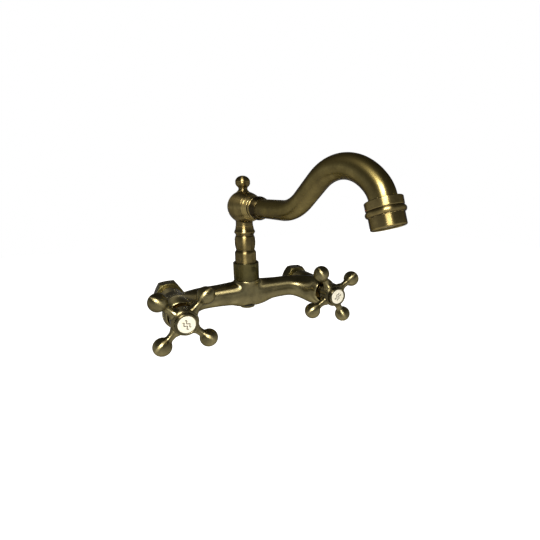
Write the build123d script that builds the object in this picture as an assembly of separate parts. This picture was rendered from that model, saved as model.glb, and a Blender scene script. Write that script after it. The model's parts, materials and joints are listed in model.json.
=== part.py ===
from build123d import *

import os
from math import asin, cos, degrees, pi, radians, sin, sqrt

# Wall-mounted two-handle bridge tap with cross handles and a swivelling spout.
# Millimetres, +Z up. The origin is midway between the two inlets, in the plane of the
# union nuts' wall faces. +X runs along the bridge and -Y points away from the wall.

# General fits
seat_gap = 0.05
lip_gap = 0.15
seal_gap = 0.02
running_gap = 0.07
free_gap = 0.3

# Overall layout
inlet_spacing = 150.0
bridge_out = 39.0
handle_out = 89.0
spout_height = 89.4
spout_turn = 8.0

# Union nuts and inlet necks
nut_across_flats = 27.0
nut_length = 15.0
nut_thread_radius = 9.3
nut_thread_length = 6.6
nut_mouth_chamfer = 0.6
nut_relief = 0.35
nut_lip_length = 2.6
nut_front_chamfer = 2.2
nut_back_chamfer = 2.3
left_nut_turn = -3.5
right_nut_turn = 0.0
neck_radius = 8.1
neck_front_radius = 10.0
neck_end_out = 9.8
inlet_radius = 5.5
snap_wire_radius = 0.9
snap_wire_depth = 0.8
washer_thickness = 2.0
neck_flare_length = 8.0

# Valve barrels
barrel_back_radius = 11.8
barrel_swell_out = 46.0
barrel_radius = 14.0
barrel_rim_radius = 13.2
barrel_rim_out = 76.0
barrel_taper_length = 13.0
mouth_radius = 11.6
shoulder_out = 58.0
valve_thread_radius = 10.5
valve_thread_length = 11.0
chamber_radius = 9.6
seat_out = 27.0
elbow_bend_radius = 30.0
elbow_bulge_radius = 15.0
elbow_drop = 2.7
elbow_first_station = 32.0
elbow_low_station = 60.0

# Bridge and centre boss
bridge_radius = 11.3
bridge_lift = 1.0
bridge_mid_radius = 13.2
bridge_swell_length = 38.0
waterway_radius = 5.5
belly_half_length = 30.0
belly_radius = 12.0
belly_drop = 3.2
belly_shift = 4.0
boss_top = 15.0
boss_radius = 13.3
boss_foot_half_length = 27.0
spigot_radius = 11.9
spigot_top = 24.0
socket_radius = 9.0
socket_floor = 2.5
plug_radius = 6.0
plug_length = 9.0
plug_head_radius = 7.6
plug_head_height = 1.8
plug_socket_flats = 6.0
plug_socket_depth = 4.0

# Column nut and swivel
column_nut_radius = 13.3
column_nut_top = 33.4
column_nut_lip_thickness = 4.0
column_nut_bore_radius = 11.35
column_nut_chamfer = 1.3
spanner_slot_width = 5.0
spanner_slot_height = 2.4
spanner_slot_depth = 0.9
spanner_slot_angle = 15.0
thrust_washer_thickness = 1.2
slip_ring_thickness = 2.0
slip_ring_radius = 11.8
slip_ring_groove_radius = 9.4
column_flange_thickness = 1.4
column_bore_radius = 5.2
shank_end = 4.0
o_ring_wire_radius = 0.95
o_ring_first = 3.5
o_ring_pitch = 6.5

# Turned column
column_foot_radius = 11.0
column_foot_top = 44.2
column_low_groove_radius = 9.5
column_low_groove_z = 46.4
column_barrel_radius = 10.6
column_barrel_end_radius = 9.8
column_barrel_low = 47.6
column_barrel_high_drop = 10.4
column_high_groove_radius = 9.2
column_high_groove_drop = 9.0
column_bead_radius = 10.7
column_bead_drop = 5.8
column_neck_radius = 8.6
column_top_drop = 18.9
column_tenon_radius = 7.0
column_tenon_length = 6.0

# Spout hub and finial
hub_radius = 15.9
hub_nose_length = 28.2
hub_nose_tip_radius = 3.8
hub_front_length = 19.2
hub_front_radius = 11.8
hub_groove_place = 16.2
hub_groove_width = 0.9
hub_groove_radius = 12.4
hub_bore_radius = 7.2
hub_joint_drop = 10.0
finial_radius = 7.4
finial_half_height = 6.3
finial_neck_radius = 4.4
finial_throat_radius = 4.9
finial_base_radius = 5.6
finial_height = 24.0
finial_groove_radius = 0.35
finial_stud_radius = 3.0
finial_stud_length = 5.0
finial_seat = 15.4

# Spout collar, tube and outlet
collar_radius = 11.7
collar_band_length = 5.2
collar_band_taper = 0.8
collar_groove_width = 1.3
collar_groove_radius = 9.9
collar_bead_radius = 10.9
collar_bead_width = 3.0
collar_dome_radius = 11.1
collar_dome_length = 7.4
tube_radius = 8.6
tube_wall = 1.6
tube_socket_depth = 10.6
tube_straight_end = 69.5
tube_first_bend_radius = 44.7
tube_first_bend = 38.7
tube_rise_length = 21.6
tube_arch_radius = 40.6
tube_arch_turn = 84.5
tube_last_bend_radius = 22.0
tube_last_bend = 25.6
outlet_lap = 2.8
outlet_band_radius = 11.7
outlet_band_length = 5.7
outlet_bead_radius = 12.35
outlet_bead_width = 3.8
outlet_lower_radius = 10.95
outlet_length = 17.4
outlet_groove_depth = 0.5
outlet_cap_length = 3.0
insert_radius = 9.2
insert_length = 8.5
insert_bore_radius = 7.6
insert_recess = 1.5
screen_thickness = 0.8
screen_hole_radius = 0.75
screen_hole_pitch = 2.4
deck_place = 3.0
deck_thickness = 1.2
deck_hole_radius = 0.9
deck_hole_circle = 4.6
deck_hole_count = 8
outlet_washer_thickness = 1.6

# Headworks
headwork_flange_radius = 11.3
headwork_flange_thickness = 2.2
headwork_hex_flats = 18.0
headwork_hex_length = 7.0
headwork_top_out = 71.8
headwork_skirt_radius = 9.3
headwork_skirt_bore = 8.3
headwork_skirt_end = 31.5
gasket_wire_radius = 0.5
port_width = 9.0
port_low = 37.0
port_high = 43.0
disc_radius = 8.1
disc_thickness = 3.2
disc_port_radius = 2.4
disc_port_place = 4.3
disc_gap = 0.03
seal_inner_radius = 6.2
spindle_radius = 4.75
spindle_foot_radius = 7.6
spindle_foot_thickness = 2.4
spindle_tongue_width = 4.0
spindle_tongue_depth = 1.8
spline_teeth = 24
spline_outer_radius = 4.0
spline_root_radius = 3.72
clip_groove_radius = 4.1
clip_radius = 6.3
clip_thickness = 0.9

# Cross handles
arm_reach = 27.5
arm_ball_radius = 7.95
arm_radius = 3.3
arm_foot_radius = 5.2
arm_foot_length = 3.4
arm_tang_radius = 2.4
arm_tang_wall = 0.85
arm_ball_throat = 4.9
arm_throat_length = 2.7
left_cross_angle = 45.0
right_cross_angle = 60.0
handle_hub_radius = 11.4
handle_hub_half_length = 6.2
handle_hub_round = 1.6
skirt_radius = 7.8
skirt_end_out = 74.0
skirt_bore_radius = 5.6
cup_radius = 8.0
cup_floor_out = 91.4
cup_web = 2.6
bezel_radius = 9.5
bezel_face_out = 99.4
bezel_wall = 1.9
index_recess = 0.3
index_thickness = 2.2
index_clearance = 0.12
screw_radius = 2.0
screw_head_radius = 3.7
screw_head_height = 2.4
screw_length = 12.0
screw_slot_width = 1.0
screw_slot_depth = 1.1

# Sizes that follow from the ones above
half_spacing = inlet_spacing / 2
column_y = -bridge_out
nut_lip_start = nut_length - nut_lip_length
nut_lip_radius = neck_radius + lip_gap
flare_start = nut_length + free_gap
barrel_start = flare_start + neck_flare_length
thread_floor_out = shoulder_out - valve_thread_length
shank_radius = socket_radius - running_gap
washer_top = spigot_top + thrust_washer_thickness
column_base = washer_top + seat_gap
slip_groove_low = column_base + column_flange_thickness
slip_groove_high = slip_groove_low + slip_ring_thickness + 2 * running_gap
tube_bore_radius = tube_radius - tube_wall
tube_start = hub_front_length - tube_socket_depth
collar_start_out = hub_front_length + seat_gap
column_top = spout_height - column_top_drop
column_bead_z = column_top - column_bead_drop
column_high_groove_z = column_top - column_high_groove_drop
column_barrel_high = column_top - column_barrel_high_drop
hub_joint_floor = column_top
hub_joint_top = spout_height - hub_joint_drop
spout_direction = Vector(sin(radians(spout_turn)), -cos(radians(spout_turn)), 0)


def turned(plane, *edges):
    """A closed half-outline, drawn as (along the axis, radius), turned round the plane's X."""
    outline = make_face(Curve() + list(edges))
    return revolve(plane * outline, Axis(plane.origin, plane.x_dir), 360)


def turned_points(plane, *points):
    """A turned piece with straight outlines."""
    return turned(plane, Polyline(*points, close=True))


def ring(plane, start, end, inner, outer):
    """A plain ring or disc between two places on the axis."""
    return turned_points(plane, (start, inner), (end, inner), (end, outer), (start, outer))


def wire_ring(plane, place, ring_radius, wire_radius):
    """A ring of round wire or cord."""
    section = Pos(place, ring_radius) * Circle(wire_radius)
    return revolve(plane * section, Axis(plane.origin, plane.x_dir), 360)


def valve_plane(side):
    """Along the valve axis, away from the wall, with the radius upwards."""
    return Plane(origin=(side * half_spacing, 0, 0), x_dir=(0, -1, 0), z_dir=(-1, 0, 0))


def facing_plane(side, out):
    """Square to the valve axis, its normal away from the wall."""
    return Plane(origin=(side * half_spacing, -out, 0), x_dir=(1, 0, 0), z_dir=(0, -1, 0))


column_plane = Plane(origin=(0, column_y, 0), x_dir=(0, 0, 1), z_dir=(0, 1, 0))
bridge_plane = Plane(origin=(0, column_y, bridge_lift), x_dir=(1, 0, 0), z_dir=(0, -1, 0))
belly_plane = Plane(origin=(belly_shift, column_y, -belly_drop), x_dir=(1, 0, 0), z_dir=(0, -1, 0))
spout_plane = Plane(
    origin=(0, column_y, spout_height),
    x_dir=spout_direction,
    z_dir=spout_direction.cross(Vector(0, 0, 1)),
)


def nut_bar(side, start, end, flats, turn=0):
    """A hexagonal bar on a valve axis, turned a little from two level flats."""
    section = facing_plane(side, start) * (Rot(0, 0, turn) * RegularPolygon(flats / sqrt(3), 6))
    return extrude(section, end - start)


def union_nut(side):
    """Hexagon swivel nut with a pipe thread, held on the neck by its front lip."""
    plane = valve_plane(side)
    corner_radius = nut_across_flats / sqrt(3)
    turn = left_nut_turn if side < 0 else right_nut_turn
    bar = nut_bar(side, 0, nut_length, nut_across_flats, turn)
    chamfered = turned_points(
        plane,
        (0, 0),
        (0, corner_radius - nut_back_chamfer),
        (nut_back_chamfer, corner_radius),
        (nut_length - nut_front_chamfer, corner_radius),
        (nut_length, corner_radius - nut_front_chamfer),
        (nut_length, 0),
    )
    bore = turned_points(
        plane,
        (0, 0),
        (0, nut_thread_radius + nut_mouth_chamfer),
        (nut_mouth_chamfer, nut_thread_radius),
        (nut_thread_length, nut_thread_radius),
        (nut_thread_length, nut_thread_radius + nut_relief),
        (nut_lip_start, nut_thread_radius + nut_relief),
        (nut_lip_start, nut_lip_radius),
        (nut_length, nut_lip_radius),
        (nut_length, 0),
    )
    return bar & chamfered - bore


def snap_ring_out():
    """Where the snap ring's centre lies on the neck: against the nut's lip."""
    return nut_lip_start - snap_wire_radius - seat_gap


def nut_snap_ring(side):
    """Round-wire ring in the neck's groove, which the nut's lip pulls against."""
    ring_radius = neck_radius - snap_wire_depth + snap_wire_radius + seat_gap
    return wire_ring(valve_plane(side), snap_ring_out(), ring_radius, snap_wire_radius)


def inlet_washer(side):
    """Fibre washer on the neck's end."""
    start = neck_end_out - washer_thickness
    outer = nut_thread_radius - free_gap
    return ring(valve_plane(side), start, neck_end_out, inlet_radius, outer)


def barrel(side):
    """Outside of one valve barrel with its flared neck and rounded mouth rim."""
    groove_low = snap_ring_out() - snap_wire_radius - seat_gap
    groove_high = snap_ring_out() + snap_wire_radius + seat_gap
    taper_out = barrel_rim_out - barrel_taper_length
    rim_round = barrel_rim_radius - mouth_radius
    neck = Polyline(
        (neck_end_out, 0),
        (neck_end_out, neck_radius),
        (groove_low, neck_radius),
        (groove_low, neck_radius - snap_wire_depth),
        (groove_high, neck_radius - snap_wire_depth),
        (groove_high, neck_radius),
        (flare_start, neck_radius),
        (flare_start, neck_front_radius),
    )
    flare = Spline(
        (flare_start, neck_front_radius),
        (barrel_start, barrel_back_radius),
        tangents=((1, 0), (1, 0)),
    )
    body = Line((barrel_start, barrel_back_radius), (barrel_swell_out, barrel_back_radius))
    swell = Spline(
        (barrel_swell_out, barrel_back_radius),
        (taper_out, barrel_radius),
        tangents=((1, 0), (1, 0)),
    )
    taper = Spline(
        (taper_out, barrel_radius),
        (barrel_rim_out - rim_round, barrel_rim_radius),
        tangents=((1, 0), (1, -0.15)),
    )
    rim = Polyline(
        (barrel_rim_out - rim_round, barrel_rim_radius),
        (barrel_rim_out - 0.4, barrel_rim_radius - 0.5),
        (barrel_rim_out, barrel_rim_radius - 1.0),
        (barrel_rim_out, 0),
        (neck_end_out, 0),
    )
    return turned(valve_plane(side), neck, flare, body, swell, taper, rim)


def elbow(side):
    """Swelling bend that carries the bridge round into one valve barrel."""
    centre_x = half_spacing - elbow_bend_radius
    sections = []
    stations = (
        (0, bridge_radius, bridge_lift),
        (elbow_first_station, 0.65 * bridge_radius + 0.35 * elbow_bulge_radius, -elbow_drop / 3),
        (elbow_low_station, elbow_bulge_radius, -elbow_drop),
        (90, barrel_radius, -elbow_drop / 3),
    )
    for angle, radius, height in stations:
        turn = radians(angle)
        place_x = side * (centre_x + elbow_bend_radius * sin(turn))
        place_y = -(bridge_out + elbow_bend_radius * (1 - cos(turn)))
        heading = Vector(side * cos(turn), -sin(turn), 0)
        origin = (place_x, place_y, height)
        section_plane = Plane(origin=origin, x_dir=(0, 0, 1), z_dir=heading)
        sections.append(section_plane * Circle(radius))
    return loft(sections)


def bridge_swell():
    """The bridge itself, thicker at the middle."""
    quarter = bridge_swell_length / 2
    mean = (bridge_radius + bridge_mid_radius) / 2
    end = half_spacing - elbow_bend_radius
    outline = Spline(
        (-end, bridge_radius),
        (-bridge_swell_length, bridge_radius),
        (-quarter, mean),
        (0, bridge_mid_radius),
        (quarter, mean),
        (bridge_swell_length, bridge_radius),
        (end, bridge_radius),
    )
    base = Polyline((end, bridge_radius), (end, 0), (-end, 0), (-end, bridge_radius))
    return turned(bridge_plane, outline, base)


def belly():
    """Shallow keel under the middle of the bridge, which takes the drain plug."""
    outline = EllipticalCenterArc((0, 0), belly_half_length, belly_radius, start_angle=0, arc_size=180)
    base = Line((-belly_half_length, 0), (belly_half_length, 0))
    return turned(belly_plane, outline, base)


def boss():
    """Flared boss that rises from the bridge to the column nut."""
    stations = (
        (-2.0, boss_foot_half_length, bridge_mid_radius - 1.6),
        (3.5, 0.78 * boss_foot_half_length, bridge_mid_radius - 0.8),
        (9.0, 0.59 * boss_foot_half_length, bridge_mid_radius - 0.3),
        (boss_top, boss_radius, boss_radius),
    )
    sections = [
        Plane(origin=(0, column_y, height), z_dir=(0, 0, 1)) * Ellipse(length, width)
        for height, length, width in stations
    ]
    return loft(sections)


def bridge_body():
    """One hollow casting: bridge, elbows, valve barrels, inlet necks and centre boss."""
    solid = bridge_swell() + boss() + belly()
    solid += ring(column_plane, boss_top - 1, spigot_top, 0, spigot_radius)
    for side in (-1, 1):
        solid += elbow(side) + barrel(side)
    solid -= ring(bridge_plane, -half_spacing, half_spacing, 0, waterway_radius)
    for side in (-1, 1):
        plane = valve_plane(side)
        solid -= ring(plane, shoulder_out, barrel_rim_out, 0, mouth_radius)
        solid -= ring(plane, thread_floor_out, shoulder_out, 0, valve_thread_radius)
        solid -= ring(plane, seat_out, thread_floor_out, 0, chamber_radius)
        solid -= ring(plane, neck_end_out, seat_out, 0, inlet_radius)
    solid -= ring(column_plane, socket_floor, spigot_top, 0, socket_radius)
    solid -= ring(column_plane, 0, socket_floor, 0, waterway_radius)
    solid -= ring(column_plane, plug_bottom(), socket_floor, 0, plug_radius + seat_gap)
    solid -= ring(
        column_plane,
        plug_bottom() - 2 * plug_head_height,
        plug_bottom(),
        0,
        plug_head_radius + free_gap,
    )
    return solid


def plug_bottom():
    """Height of the spot face under the belly that the plug's head seats on."""
    return -belly_drop - belly_radius + plug_head_height + plug_seal_thickness()


def bottom_plug():
    """Socket-head plug that closes the casting's core hole."""
    seat = plug_bottom() - plug_seal_thickness()
    plug = ring(column_plane, seat, seat + plug_length, 0, plug_radius)
    plug += ring(column_plane, seat - plug_head_height, seat, 0, plug_head_radius)
    socket_plane = Plane(
        origin=(0, column_y, seat - plug_head_height), x_dir=(1, 0, 0), z_dir=(0, 0, 1)
    )
    socket = socket_plane * RegularPolygon(plug_socket_flats / sqrt(3), 6)
    return plug - extrude(socket, plug_socket_depth)


def plug_seal_thickness():
    """Thickness of the plug's flat seal."""
    return washer_thickness / 2


def bottom_plug_seal():
    """Flat seal between the plug's head and the casting."""
    high = plug_bottom()
    low = high - plug_seal_thickness()
    return ring(column_plane, low, high, plug_radius + seat_gap, plug_head_radius)


def column_nut():
    """Round nut on the spigot whose lip holds the column down, with a spanner slot."""
    lip_low = column_nut_top - column_nut_lip_thickness
    thread = spigot_radius + seat_gap
    nut = turned_points(
        column_plane,
        (boss_top, thread),
        (lip_low, thread),
        (lip_low, column_nut_bore_radius),
        (column_nut_top - column_nut_chamfer, column_nut_bore_radius),
        (column_nut_top, column_nut_bore_radius + column_nut_chamfer / 2),
        (column_nut_top, column_nut_radius - column_nut_chamfer / 3),
        (column_nut_top - column_nut_chamfer / 3, column_nut_radius),
        (boss_top + 0.3, column_nut_radius),
        (boss_top, column_nut_radius - 0.3),
    )
    slot = Box(spanner_slot_width, 2 * spanner_slot_depth, spanner_slot_height)
    slot_z = column_nut_top - column_nut_chamfer - spanner_slot_height
    slot = Pos(0, -column_nut_radius, slot_z) * slot
    return nut - Pos(0, column_y, 0) * (Rot(0, 0, spanner_slot_angle) * slot)


def thrust_washer():
    """Nylon washer that the column turns on."""
    inner = shank_radius + free_gap
    return ring(column_plane, spigot_top, washer_top, inner, column_foot_radius)


def column_slip_ring():
    """Split nylon ring in the column's groove, held under the nut's lip."""
    low = slip_groove_low + running_gap
    inner = slip_ring_groove_radius + running_gap
    return ring(column_plane, low, low + slip_ring_thickness, inner, slip_ring_radius)


def o_ring_heights():
    """Heights of the two seals on the column's shank."""
    first = shank_end + o_ring_first
    return first, first + o_ring_pitch


def o_ring_centre_radius():
    """Radius of the shank seals' centre line, just clear of the socket's wall."""
    return socket_radius - o_ring_wire_radius - seal_gap


def column_post():
    """Turned column: sealed shank, retaining groove, foot, barrel, bead and neck."""
    low_edge = column_low_groove_z - column_foot_top
    shank = Polyline(
        (shank_end, column_bore_radius),
        (shank_end, shank_radius - 0.6),
        (shank_end + 0.6, shank_radius),
        (column_base, shank_radius),
        (column_base, column_foot_radius),
        (slip_groove_low, column_foot_radius),
        (slip_groove_low, slip_ring_groove_radius),
        (slip_groove_high, slip_ring_groove_radius),
        (slip_groove_high, column_foot_radius),
        (column_foot_top - low_edge, column_foot_radius),
    )
    foot_edge = ThreePointArc(
        (column_foot_top - low_edge, column_foot_radius),
        (column_foot_top, column_foot_radius - 0.3),
        (column_low_groove_z - 0.6, column_low_groove_radius),
    )
    low_groove = Polyline(
        (column_low_groove_z - 0.6, column_low_groove_radius),
        (column_low_groove_z + 0.6, column_low_groove_radius),
        (column_barrel_low, column_barrel_end_radius),
    )
    barrel_mid = (column_barrel_low + column_barrel_high) / 2
    bulge = ThreePointArc(
        (column_barrel_low, column_barrel_end_radius),
        (barrel_mid, column_barrel_radius),
        (column_barrel_high, column_barrel_end_radius),
    )
    high_groove = Polyline(
        (column_barrel_high, column_barrel_end_radius),
        (column_high_groove_z - 0.6, column_high_groove_radius),
        (column_high_groove_z + 0.6, column_high_groove_radius),
        (column_bead_z - 0.7, column_bead_radius - 0.3),
        (column_bead_z, column_bead_radius),
        (column_bead_z + 0.6, column_bead_radius - 0.3),
    )
    flare = Spline(
        (column_bead_z + 0.6, column_bead_radius - 0.3),
        (column_bead_z + 3.0, column_bead_radius - 1.3),
        (column_top, column_neck_radius + 0.3),
    )
    tenon = Polyline(
        (column_top, column_neck_radius + 0.3),
        (column_top, column_tenon_radius),
        (column_top + column_tenon_length, column_tenon_radius),
        (column_top + column_tenon_length, column_bore_radius),
        (shank_end, column_bore_radius),
    )
    post = turned(column_plane, shank, foot_edge, low_groove, bulge, high_groove, flare, tenon)
    for height in o_ring_heights():
        low = height - o_ring_wire_radius - running_gap
        high = height + o_ring_wire_radius + running_gap
        floor = o_ring_centre_radius() - o_ring_wire_radius - seat_gap
        post -= ring(column_plane, low, high, floor, socket_radius)
    return post


def column_o_rings():
    """Two rubber seals between the column's shank and the casting."""
    return [
        wire_ring(column_plane, height, o_ring_centre_radius(), o_ring_wire_radius)
        for height in o_ring_heights()
    ]


def hub_joint_seal():
    """Flat seal between the column's tenon and the hub."""
    low = column_top + column_tenon_length
    return ring(column_plane, low, hub_joint_top, column_bore_radius, column_tenon_radius)


def spout_hub():
    """Pear-shaped hub, turned on the spout's axis, that joins column, finial and spout."""
    nose_centre = hub_nose_tip_radius - hub_nose_length
    nose_side = radians(50)
    nose_x = nose_centre - hub_nose_tip_radius * cos(nose_side)
    nose_y = hub_nose_tip_radius * sin(nose_side)
    nose = RadiusArc((-hub_nose_length, 0), (nose_x, nose_y), hub_nose_tip_radius)
    back = Spline(
        (nose_x, nose_y),
        (-0.62 * hub_nose_length, 0.57 * hub_radius),
        (-0.34 * hub_nose_length, 0.84 * hub_radius),
        (-1.5, hub_radius),
        (0.34 * hub_front_length, 0.95 * hub_radius),
        (0.73 * hub_front_length, 0.85 * hub_radius),
        (hub_front_length, hub_front_radius),
    )
    base = Polyline(
        (hub_front_length, hub_front_radius),
        (hub_front_length, 0),
        (-hub_nose_length, 0),
    )
    hub = turned(spout_plane, nose, back, base)
    neck_top = spout_height - hub_radius / 2
    hub += turned_points(
        column_plane,
        (hub_joint_floor, 0),
        (hub_joint_floor, column_neck_radius + 0.3),
        (hub_joint_floor + 1.2, column_neck_radius),
        (neck_top, column_neck_radius),
        (neck_top, 0),
    )
    hub += ring(
        column_plane, spout_height, spout_height + finial_seat, 0, finial_base_radius + 0.6
    )
    hub -= ring(spout_plane, 0, hub_front_length, 0, hub_bore_radius)
    hub -= ring(spout_plane, tube_start, hub_front_length, 0, tube_radius + seat_gap)
    hub -= ring(column_plane, hub_joint_top, spout_height, 0, column_bore_radius)
    hub -= ring(column_plane, hub_joint_floor, hub_joint_top, 0, column_tenon_radius + seat_gap)
    stud_top = spout_height + finial_seat
    stud_floor = stud_top - finial_stud_length - seat_gap
    hub -= ring(column_plane, stud_floor, stud_top, 0, finial_stud_radius + seat_gap)
    hub -= ring(column_plane, stud_top, stud_top + hub_radius, 0, finial_base_radius + free_gap)
    groove_end = hub_groove_place + hub_groove_width
    hub -= ring(spout_plane, hub_groove_place, groove_end, hub_groove_radius, hub_radius)
    return hub


def finial():
    """Turned ball screwed into the top of the hub."""
    seat = spout_height + finial_seat
    centre = spout_height + finial_height
    throat_turn = 180 - degrees(asin(finial_throat_radius / finial_radius))
    throat = centre + finial_half_height * cos(radians(throat_turn))
    stem = Polyline(
        (seat - finial_stud_length, 0),
        (seat - finial_stud_length, finial_stud_radius),
        (seat, finial_stud_radius),
        (seat, finial_base_radius),
        (seat + 0.4, finial_base_radius),
    )
    neck = ThreePointArc(
        (seat + 0.4, finial_base_radius),
        ((seat + throat) / 2, finial_neck_radius),
        (throat, finial_throat_radius),
    )
    groove_turn = degrees(asin(finial_groove_radius / finial_half_height))
    groove_edge = finial_radius * cos(radians(groove_turn))
    middle = (centre, 0)
    top = EllipticalCenterArc(
        middle, finial_half_height, finial_radius, start_angle=0, arc_size=90 - groove_turn
    )
    groove = ThreePointArc(
        (centre + finial_groove_radius, groove_edge),
        (centre, finial_radius - finial_groove_radius),
        (centre - finial_groove_radius, groove_edge),
    )
    low = EllipticalCenterArc(
        middle,
        finial_half_height,
        finial_radius,
        start_angle=90 + groove_turn,
        arc_size=throat_turn - 90 - groove_turn,
    )
    base = Line((centre + finial_half_height, 0), (seat - finial_stud_length, 0))
    return turned(column_plane, stem, neck, low, groove, top, base)


def spout_path():
    """The tube's centre line: straight out of the hub, up, over the arch, down and into the outlet."""
    run = Line((tube_start, 0), (tube_straight_end, 0))
    rise = JernArc(run @ 1, run % 1, tube_first_bend_radius, tube_first_bend)
    climb = Line(rise @ 1, rise @ 1 + tube_rise_length * (rise % 1))
    arch = JernArc(climb @ 1, climb % 1, tube_arch_radius, -tube_arch_turn)
    fall = JernArc(arch @ 1, arch % 1, tube_last_bend_radius, -tube_last_bend)
    end = Line(fall @ 1, fall @ 1 + outlet_lap * (fall % 1))
    return spout_plane * (run + rise + climb + arch + fall + end)


def spout_tube():
    """Bent brass tube of constant diameter."""
    path = spout_path()
    start = Plane(origin=path @ 0, z_dir=path % 0)
    outer = sweep(start * Circle(tube_radius), path)
    inner = sweep(start * Circle(tube_bore_radius), path)
    return outer - inner


def spout_collar():
    """Turned ring over the joint of hub and tube: a tapered band, a bead and a dome."""
    bore = tube_radius + seat_gap
    band_end = collar_start_out + collar_band_length
    bead_start = band_end + collar_groove_width
    bead_end = bead_start + collar_bead_width
    dome_start = bead_end + collar_groove_width / 2
    dome_top = dome_start + 0.2 * collar_dome_length
    dome_end = dome_start + collar_dome_length
    band = Polyline(
        (collar_start_out, bore),
        (collar_start_out, collar_radius - 0.3),
        (collar_start_out + 0.3, collar_radius),
        (band_end, collar_radius - collar_band_taper),
        (band_end + 0.2, collar_groove_radius),
        (bead_start, collar_groove_radius),
    )
    bead = ThreePointArc(
        (bead_start, collar_groove_radius),
        ((bead_start + bead_end) / 2, collar_bead_radius),
        (bead_end, collar_groove_radius + 0.2),
    )
    step = Line((bead_end, collar_groove_radius + 0.2), (dome_start, collar_groove_radius + 0.2))
    dome = Spline(
        (dome_start, collar_groove_radius + 0.2),
        (dome_start + 0.4, collar_dome_radius - 0.45),
        (dome_top, collar_dome_radius),
        (dome_start + 0.6 * collar_dome_length, collar_dome_radius - 0.7),
        (dome_end, bore + 0.3),
    )
    base = Polyline((dome_end, bore + 0.3), (dome_end, bore), (collar_start_out, bore))
    return turned(spout_plane, band, bead, step, dome, base)


def outlet_plane():
    """Along the tube's last direction, from where the outlet's collar begins."""
    path = spout_path()
    heading = path % 1
    start = path @ 1 - outlet_lap * heading
    side = Vector(-spout_direction.Y, spout_direction.X, 0)
    return Plane(origin=start, x_dir=heading, z_dir=side)


def aerator_shell():
    """Turned outlet collar over the tube's end: band, bead and lower band."""
    plane = outlet_plane()
    bead_start = outlet_band_length
    bead_end = bead_start + outlet_bead_width
    tube_bore = tube_radius + seat_gap
    outside = Polyline(
        (0, tube_bore),
        (0, outlet_band_radius - 0.5),
        (0.5, outlet_band_radius),
        (bead_start - 0.5, outlet_band_radius - 0.1),
        (bead_start, outlet_band_radius - outlet_groove_depth),
    )
    bead = ThreePointArc(
        (bead_start, outlet_band_radius - outlet_groove_depth),
        (bead_start + 0.55 * outlet_bead_width, outlet_bead_radius),
        (bead_end, outlet_lower_radius + 0.2),
    )
    lower = Polyline(
        (bead_end, outlet_lower_radius + 0.2),
        (bead_end + 0.4, outlet_lower_radius),
        (outlet_length - 0.6, outlet_lower_radius),
        (outlet_length, outlet_lower_radius - 0.6),
        (outlet_length, insert_radius + seat_gap),
        (outlet_cap_length, insert_radius + seat_gap),
        (outlet_cap_length, tube_bore),
        (0, tube_bore),
    )
    return turned(plane, outside, bead, lower)


def insert_start():
    """Where the aerator's cage begins inside the outlet's collar."""
    return outlet_length - insert_recess - insert_length


def aerator_insert():
    """Moulded cage that mixes air into the stream."""
    plane = outlet_plane()
    end = insert_start() + insert_length
    cage = ring(plane, insert_start(), end, insert_bore_radius, insert_radius)
    deck_low = insert_start() + deck_place
    deck = ring(plane, deck_low, deck_low + deck_thickness, 0, insert_bore_radius)
    holes = [
        Rot(0, 0, 360 * hole / deck_hole_count) * Pos(deck_hole_circle, 0) * Circle(deck_hole_radius)
        for hole in range(deck_hole_count)
    ]
    hole_plane = Plane(origin=plane.origin, z_dir=plane.x_dir)
    bores = extrude(hole_plane * (Sketch() + holes), outlet_length)
    return cage + deck - bores


def aerator_screen():
    """Perforated disc at the mouth of the cage."""
    plane = outlet_plane()
    end = insert_start() + insert_length
    disc = ring(plane, end - screen_thickness, end, 0, insert_bore_radius - seat_gap)
    hole_plane = Plane(origin=plane.origin, z_dir=plane.x_dir)
    reach = insert_bore_radius - 2 * screen_hole_radius
    places = [
        (x * screen_hole_pitch, y * screen_hole_pitch)
        for x in range(-3, 4)
        for y in range(-3, 4)
        if sqrt(x * x + y * y) * screen_hole_pitch < reach
    ]
    holes = [Pos(x, y) * Circle(screen_hole_radius) for x, y in places]
    return disc - extrude(hole_plane * (Sketch() + holes), outlet_length)


def aerator_washer():
    """Rubber washer between the tube's end step and the cage."""
    start = insert_start() - outlet_washer_thickness
    return ring(outlet_plane(), start, insert_start(), insert_bore_radius - 1, insert_radius)


def headwork(side):
    """Brass headwork body: hexagon, flange, thread and ported skirt round the discs."""
    plane = valve_plane(side)
    flange_top = shoulder_out + 2 * gasket_wire_radius + headwork_flange_thickness
    flange_low = shoulder_out + 2 * gasket_wire_radius
    hex_top = flange_top + headwork_hex_length
    body = ring(plane, flange_low, flange_top, 0, headwork_flange_radius)
    body += nut_bar(side, flange_top, hex_top, headwork_hex_flats)
    body += ring(plane, hex_top, headwork_top_out, 0, spindle_radius + 1.9)
    body += ring(plane, thread_floor_out, flange_low, 0, valve_thread_radius - seat_gap)
    body += ring(plane, headwork_skirt_end, thread_floor_out, 0, headwork_skirt_radius)
    body -= ring(plane, 0, headwork_top_out, 0, spindle_radius + running_gap)
    foot_top = moving_disc_top() + spindle_foot_thickness + running_gap
    body -= ring(plane, headwork_skirt_end, foot_top, 0, headwork_skirt_bore)
    port_mid = (port_low + port_high) / 2
    port = Box(3 * chamber_radius, port_high - port_low, port_width)
    return body - Pos(side * half_spacing, -port_mid, 0) * port


def fixed_disc_low():
    """Where the fixed disc's inlet face lies."""
    return headwork_skirt_end + 0.5


def moving_disc_low():
    """Where the moving disc's sealing face lies."""
    return fixed_disc_low() + disc_thickness + disc_gap


def moving_disc_top():
    """Where the moving disc meets the spindle's foot."""
    return moving_disc_low() + disc_thickness


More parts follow.
